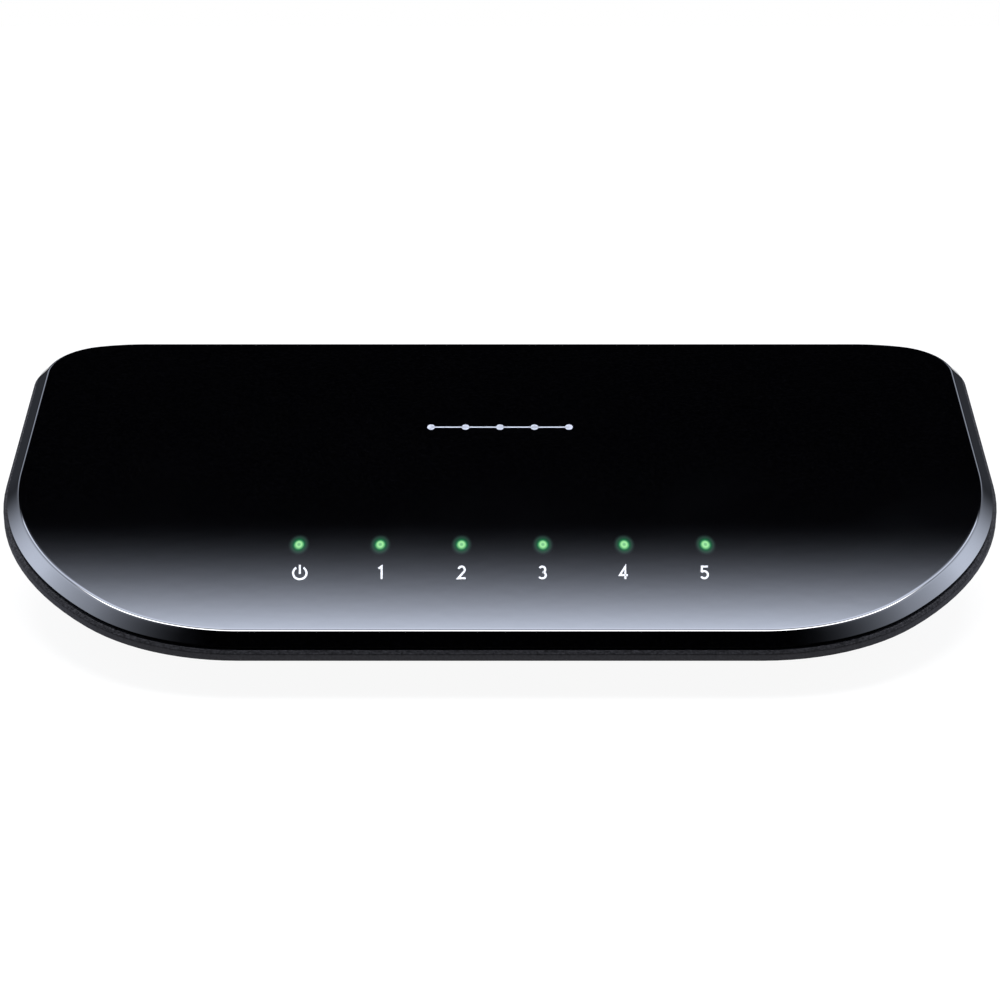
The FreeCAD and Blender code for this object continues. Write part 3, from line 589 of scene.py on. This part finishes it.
# ---- printed marks -------------------------------------------------------------------------------
def stroke(path, width, closed=False):
    """A line of ink on a path: the path plus and minus half the width times its mitred normal."""
    path = np.asarray(path, float)
    ahead = np.roll(path, -1, 0) - path
    ahead /= np.maximum(np.linalg.norm(ahead, axis=1), 1e-9)[:, None]
    back = np.roll(ahead, 1, 0)
    if not closed:
        ahead[-1], back[0] = ahead[-2], ahead[0]
    mean = ahead + back
    mean /= np.linalg.norm(mean, axis=1)[:, None]
    normal = np.stack([-mean[:, 1], mean[:, 0]], 1)
    reach = width / 2 / np.maximum((mean * ahead).sum(1), 0.35)
    left, right = path + normal * reach[:, None], path - normal * reach[:, None]
    n = len(path)
    verts = np.concatenate([
        np.column_stack([side, np.full(n, w)]) for w in (INK_THICK, -0.02) for side in (left, right)
    ])
    step = np.arange(n if closed else n - 1)
    after = (step + 1) % n
    l0, r0, l1, r1 = 0, n, 2 * n, 3 * n
    faces = [np.stack(q, 1) for q in (
        (l0 + step, r0 + step, r0 + after, l0 + after), (l1 + after, r1 + after, r1 + step, l1 + step),
        (l1 + step, l0 + step, l0 + after, l1 + after), (r0 + step, r1 + step, r1 + after, r0 + after),
    )]
    faces = [list(map(int, q)) for q in np.concatenate(faces)]
    if not closed:
        faces += [[l1, r1, r0, l0], [l0 + n - 1, r0 + n - 1, r1 + n - 1, l1 + n - 1]]
    return verts, faces


def arc(x, y, rx, ry, a0, a1, count=22):
    """Points of an ellipse's arc between two angles in degrees."""
    a = np.radians(np.linspace(a0, a1, count))
    return np.stack([x + rx * np.cos(a), y + ry * np.sin(a)], 1)


def glyph_strokes(sign):
    """Centre lines of one sign on a cell one high, about its middle: a numeral, or the power sign."""
    lines = {
        "1": [[(-0.17, 0.30), (0.06, 0.45), (0.06, -0.5)]],
        "2": [np.concatenate([arc(-0.01, 0.2, 0.23, 0.24, 165, -38), [(-0.27, -0.44), (0.29, -0.44)]])],
        "3": [arc(-0.03, 0.22, 0.22, 0.22, 150, -80), arc(-0.03, -0.21, 0.26, 0.235, 85, -150)],
        "4": [[(0.12, -0.5), (0.12, 0.44), (-0.27, -0.2), (0.31, -0.2)]],
        "5": [np.concatenate([
            [(0.24, 0.44), (-0.19, 0.44), (-0.21, 0.08)], arc(-0.02, -0.17, 0.26, 0.27, 125, -150),
        ])],
        "power": [arc(0, -0.04, 0.46, 0.41, 122, 418, 60), [(0.0, 0.5), (0.0, -0.1)]],
    }
    return [np.asarray(line, float) for line in lines[sign]]


def printed_piece(name, drawn, ink):
    """One piece from a list of strokes, each a pair of its points and its quads."""
    verts, faces, total = [], [], 0
    for points, quads in drawn:
        verts.append(points)
        faces.extend([[i + total for i in q] for q in quads])
        total += len(points)
    return make_piece(name, to_world(np.concatenate(verts)), faces, ink)


def printed_legends():
    """The power sign and the numerals 1 to 5, one in front of each light."""
    drawn = []
    for sign, light_x in zip(("power", "1", "2", "3", "4", "5"), LIGHT_XS):
        wide, deep, pen = (1.95, 4.1, 0.14) if sign == "power" else (1.84, 3.65, 0.148)
        x = light_x * LEGEND_SQUEEZE
        for line in glyph_strokes(sign):
            points, quads = stroke(line, pen)
            points = points * np.array([wide, deep, 1.0])
            points[:, 0] += points[:, 1] * x * LEGEND_FAN
            drawn.append((points + np.array([x, LEGEND_V, 0.0]), quads))
    return printed_piece("printed_legends", drawn, printed_ink("white_ink", (0.20, 0.203, 0.212)))


def linked_dots():
    """Plain mark: five small discs on a thin line, one for each socket."""
    shapes = [stroke([(-10.0, 0.0), (10.0, 0.0)], 0.36)]
    for i in range(5):
        shapes.append(stroke(arc(5.0 * (i - 2), 0.0, 0.28, 0.58, 0, 360, 33)[:-1], 0.54, closed=True))
    drawn = [(points + np.array([0.0, MARK_V, 0.0]), quads) for points, quads in shapes]
    return printed_piece("linked_dots", drawn, printed_ink("grey_ink", (0.125, 0.132, 0.155)))


# ---- stage ---------------------------------------------------------------------------------------
CAMERA_FALL = math.radians(18.0)  # how far down the camera looks


def floor():
    """Plain pale floor, just under the feet. Past its edge the studio is plain white."""
    f = Finish("pale_floor")
    grain = f.noise(f.add("TexCoord", "Object"), 3.0, 3.0)
    f.surface(
        Base_Color=f.mix(grain, (0.022, 0.022, 0.022), (0.025, 0.025, 0.025)), Roughness=0.9,
        Specular_IOR_Level=0.05, Emission_Color=(0.93, 0.93, 0.93), Emission_Strength=1.0,
    )
    mesh = bpy.data.meshes.new("floor")
    half, z = 0.45, -0.00005
    corners = [(-half, -half, z), (half, -half, z), (half, half, z), (-half, half, z)]
    mesh.from_pydata(corners, [], [(0, 1, 2, 3)])
    mesh.materials.append(f.data)
    obj = bpy.data.objects.new("floor", mesh)
    bpy.context.scene.collection.objects.link(obj)


def studio():
    """Soft studio light as a world: a rear panel with a soft lower edge, an arch overhead, two side panels.

    Each light is a function of the direction (x, y, z) that a ray leaves in. The rear panel grows as a
    power of z / y. The arch holds directions whose sum with the line to the camera stands about 16 to
    27 degrees off the deck's normal. The side panels follow a slanting band, z = 0.6 - 0.45 y, along
    which y gives the strength. Two faint strips light the back from low down, and a faint glow fills
    both sides above the horizon. The camera itself sees plain white.
    """
    f = Finish("studio", world=True)
    where = f.add("TexCoord", "Generated")
    x, y, z = f.axes(where)
    wide = abs(x)
    climb = ((z / y.most(0.02) - 0.790) / 0.0516).most(0.0).least(1.12)
    rear = climb ** 2.7 * 5.12 * y.step(0.0, 0.05) * wide.step(0.48, 0.34) * z.step(0.80, 0.69)
    front, up = y - math.cos(CAMERA_FALL), z + math.sin(CAMERA_FALL)
    lean = (up * math.cos(TILT) - front * math.sin(TILT)) / (x * x + front * front + up * up) ** 0.5
    arch = lean.step(0.886, 0.900) * lean.step(0.966, 0.944)
    arch = arch * z.step(0.74, 0.82) * wide.step(0.50, 0.40) * 48.0
    off_band = z + y * 0.45 - 0.6
    along = ((y + 0.5) / 0.9).most(0.0).least(1.0) ** 1.4 * y.step(0.84, 0.40)
    sides = along * off_band.step(0.46, 0.20) * off_band.step(-0.3, -0.15) * wide.step(0.3, 0.5) * 6.8
    low = wide.step(0.25, 0.5) * z.step(-0.1, 0.05) * 0.1
    strips = wide.step(0.18, 0.24) * wide.step(0.48, 0.40) * z.step(0.34, 0.40) * z.step(0.56, 0.50)
    strips = strips * y.step(0.6, 0.7) * 1.8
    tinted = rear + sides + low + strips
    lit = tinted * 1.2 + arch
    seen = f.add("LightPath", "Is Camera Ray")
    tint = f.mix(arch / lit.most(0.001), (0.76, 0.83, 1.0), (0.96, 0.97, 1.0))
    panels = f.add("Background", Color=tint, Strength=lit)
    plain = f.add("Background", Color=(1.0, 1.0, 1.0, 1.0), Strength=1.0)
    mixed = f.add("MixShader", i0=seen, i1=panels, i2=plain)
    f.tree.links.new(mixed.socket, f.out.inputs["Surface"])
    bpy.context.scene.world = f.data


def camera():
    """Camera in front, looking down at 18 degrees through a long lens."""
    data = bpy.data.cameras.new("camera")
    data.lens, data.sensor_width = 121.6, 36.0
    data.clip_start, data.clip_end = 0.01, 50.0
    cam = bpy.data.objects.new("camera", data)
    cam.location = (0.0, -0.4552, 0.1600)
    cam.rotation_euler = (math.pi / 2 - CAMERA_FALL, 0.0, 0.0)
    bpy.context.scene.collection.objects.link(cam)
    bpy.context.scene.camera = cam


camera()
finish_cad_nodes()
cover()
light_guide()
printed_legends()
linked_dots()
floor()
studio()
bpy.context.scene.view_settings.view_transform = "Standard"
